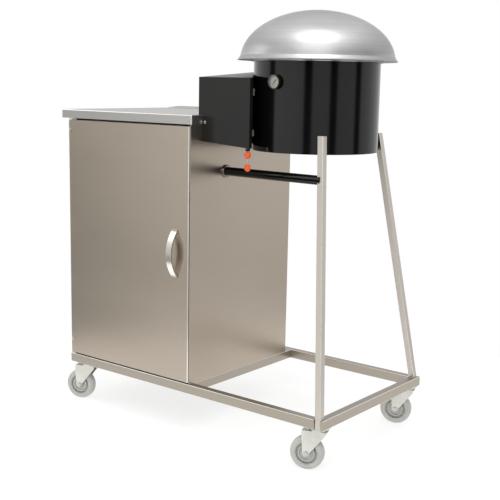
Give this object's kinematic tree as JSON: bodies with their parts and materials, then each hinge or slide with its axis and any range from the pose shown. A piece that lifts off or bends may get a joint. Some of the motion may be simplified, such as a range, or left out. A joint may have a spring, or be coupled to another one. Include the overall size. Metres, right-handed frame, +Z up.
{
  "type": "popcorn cart",
  "caption": "Cart on swivel casters with a steel cabinet, worktop, black round drum under a lift-off metal dome on leaning legs, drive housing and stirred kettle.",
  "frame": {"origin": "middle of the footprint, on the floor under the wheels", "axes": "+X from the cabinet towards the drum, +Y from the door to the back, +Z up"},
  "size_m": [1.073, 0.5924, 1.3013],
  "materials": {
    "brushed_stainless": "warm brushed stainless sheet and tube",
    "black_paint": "satin black powder coat",
    "zinc_plate": "bright zinc plating on pressed steel",
    "steel_fastener": "turned and rolled steel",
    "grey_rubber": "grey non-marking rubber",
    "grey_plastic": "moulded grey plastic",
    "chrome": "polished plating",
    "dial_face": "pale satin dial",
    "needle_black": "matt black",
    "clear_glass": "flat window glass",
    "motor_casting": "grey painted casting",
    "heater_sheath": "heat-tinted steel sheath",
    "spun_aluminium": "satin spun aluminium",
    "orange_plastic": "glossy orange plastic"
  },
  "bodies": {
    "cart": {"back_leg": "brushed_stainless", "bearing": "motor_casting", "brace_tube": "black_paint", "cabinet_back": "brushed_stainless", "cabinet_floor": "brushed_stainless", "caster_plates": "zinc_plate", "chain": "steel_fastener", "cover_screws": "steel_fastener", "cross_rails": "brushed_stainless", "drum_floor": "black_paint", "drum_shell": "black_paint", "drum_standoffs": "zinc_plate", "front_leg": "brushed_stainless", "front_stretcher": "brushed_stainless", "gauge_case": "chrome", "gauge_dial": "dial_face", "gauge_glass": "clear_glass", "gearmotor": "motor_casting", "heater_ring": "heater_sheath", "housing": "black_paint", "housing_floor": "black_paint", "kettle": "brushed_stainless", "left_side": "brushed_stainless", "long_rails": "brushed_stainless", "pivot_brackets": "zinc_plate", "pull_switch": "black_paint", "right_rail": "brushed_stainless", "right_side": "brushed_stainless", "tube_flange": "chrome", "worktop": "brushed_stainless"},
    "door": {"door_skin": "brushed_stainless", "door_back": "brushed_stainless", "hinge_blocks": "zinc_plate", "door_screws": "steel_fastener", "handle": "brushed_stainless"},
    "lid": {"dome": "spun_aluminium", "dome_seat": "spun_aluminium"},
    "stirrer": {"stirrer_shaft": "steel_fastener", "stirrer": "brushed_stainless"},
    "drive": {"drive_sprocket": "steel_fastener"},
    "needle": {"gauge_needle": "needle_black"},
    "pull": {"pull_stem": "steel_fastener", "pull_beads": "orange_plastic"},
    "swivel_front_left": {"fork_front_left": "zinc_plate", "axle_front_left": "steel_fastener"},
    "wheel_front_left": {"tyre_front_left": "grey_rubber", "hub_front_left": "grey_plastic"},
    "swivel_front_right": {"fork_front_right": "zinc_plate", "axle_front_right": "steel_fastener"},
    "wheel_front_right": {"tyre_front_right": "grey_rubber", "hub_front_right": "grey_plastic"},
    "swivel_back_left": {"fork_back_left": "zinc_plate", "axle_back_left": "steel_fastener"},
    "wheel_back_left": {"tyre_back_left": "grey_rubber", "hub_back_left": "grey_plastic"},
    "swivel_back_right": {"fork_back_right": "zinc_plate", "axle_back_right": "steel_fastener"},
    "wheel_back_right": {"tyre_back_right": "grey_rubber", "hub_back_right": "grey_plastic"}
  },
  "joints": [
    {"name": "door_hinge", "type": "hinge", "parent": "cart", "child": "door", "pos_m": [-0.496, -0.25625, 0.558], "axis": [0, 0, -1], "range_deg": [0, 95]},
    {"name": "lid_lift", "type": "slide", "parent": "cart", "child": "lid", "axis": [0, 0, 1], "range_m": [0, 0.3]},
    {"name": "stirrer_spin", "type": "hinge", "parent": "cart", "child": "stirrer", "pos_m": [0.2905, 0.01475, 0.978], "axis": [0, 0, 1], "continuous": true},
    {"name": "drive_spin", "type": "hinge", "parent": "cart", "child": "drive", "pos_m": [0.068, 0.01475, 0.928], "axis": [0, 0, 1], "continuous": true},
    {"name": "needle_turn", "type": "hinge", "parent": "cart", "child": "needle", "pos_m": [0.27953, -0.18144, 1.0895], "axis": [0.0558, 0.9984, 0], "range_deg": [0, 250], "stiffness_Nm_per_rad": 0.0006},
    {"name": "pull_cord", "type": "slide", "parent": "cart", "child": "pull", "axis": [0, 0, -1], "range_m": [0, 0.004], "stiffness_N_per_m": 150},
    {"name": "swivel_front_left", "type": "hinge", "parent": "cart", "child": "swivel_front_left", "pos_m": [-0.4485, -0.23675, 0.108], "axis": [0, 0, 1], "continuous": true},
    {"name": "roll_front_left", "type": "hinge", "parent": "swivel_front_left", "child": "wheel_front_left", "pos_m": [-0.47669, -0.24701, 0.05], "axis": [-0.342, 0.9397, 0], "continuous": true},
    {"name": "swivel_front_right", "type": "hinge", "parent": "cart", "child": "swivel_front_right", "pos_m": [0.5045, -0.23675, 0.108], "axis": [0, 0, 1], "continuous": true},
    {"name": "roll_front_right", "type": "hinge", "parent": "swivel_front_right", "child": "wheel_front_right", "pos_m": [0.47631, -0.24701, 0.05], "axis": [-0.342, 0.9397, 0], "continuous": true},
    {"name": "swivel_back_left", "type": "hinge", "parent": "cart", "child": "swivel_back_left", "pos_m": [-0.4485, 0.26625, 0.108], "axis": [0, 0, 1], "continuous": true},
    {"name": "roll_back_left", "type": "hinge", "parent": "swivel_back_left", "child": "wheel_back_left", "pos_m": [-0.47669, 0.25599, 0.05], "axis": [-0.342, 0.9397, 0], "continuous": true},
    {"name": "swivel_back_right", "type": "hinge", "parent": "cart", "child": "swivel_back_right", "pos_m": [0.5045, 0.26625, 0.108], "axis": [0, 0, 1], "continuous": true},
    {"name": "roll_back_right", "type": "hinge", "parent": "swivel_back_right", "child": "wheel_back_right", "pos_m": [0.47631, 0.25599, 0.05], "axis": [-0.342, 0.9397, 0], "continuous": true}
  ],
  "couplings": [
    {"joint": "drive_spin", "follows": "stirrer_spin", "ratio": 2}
  ]
}
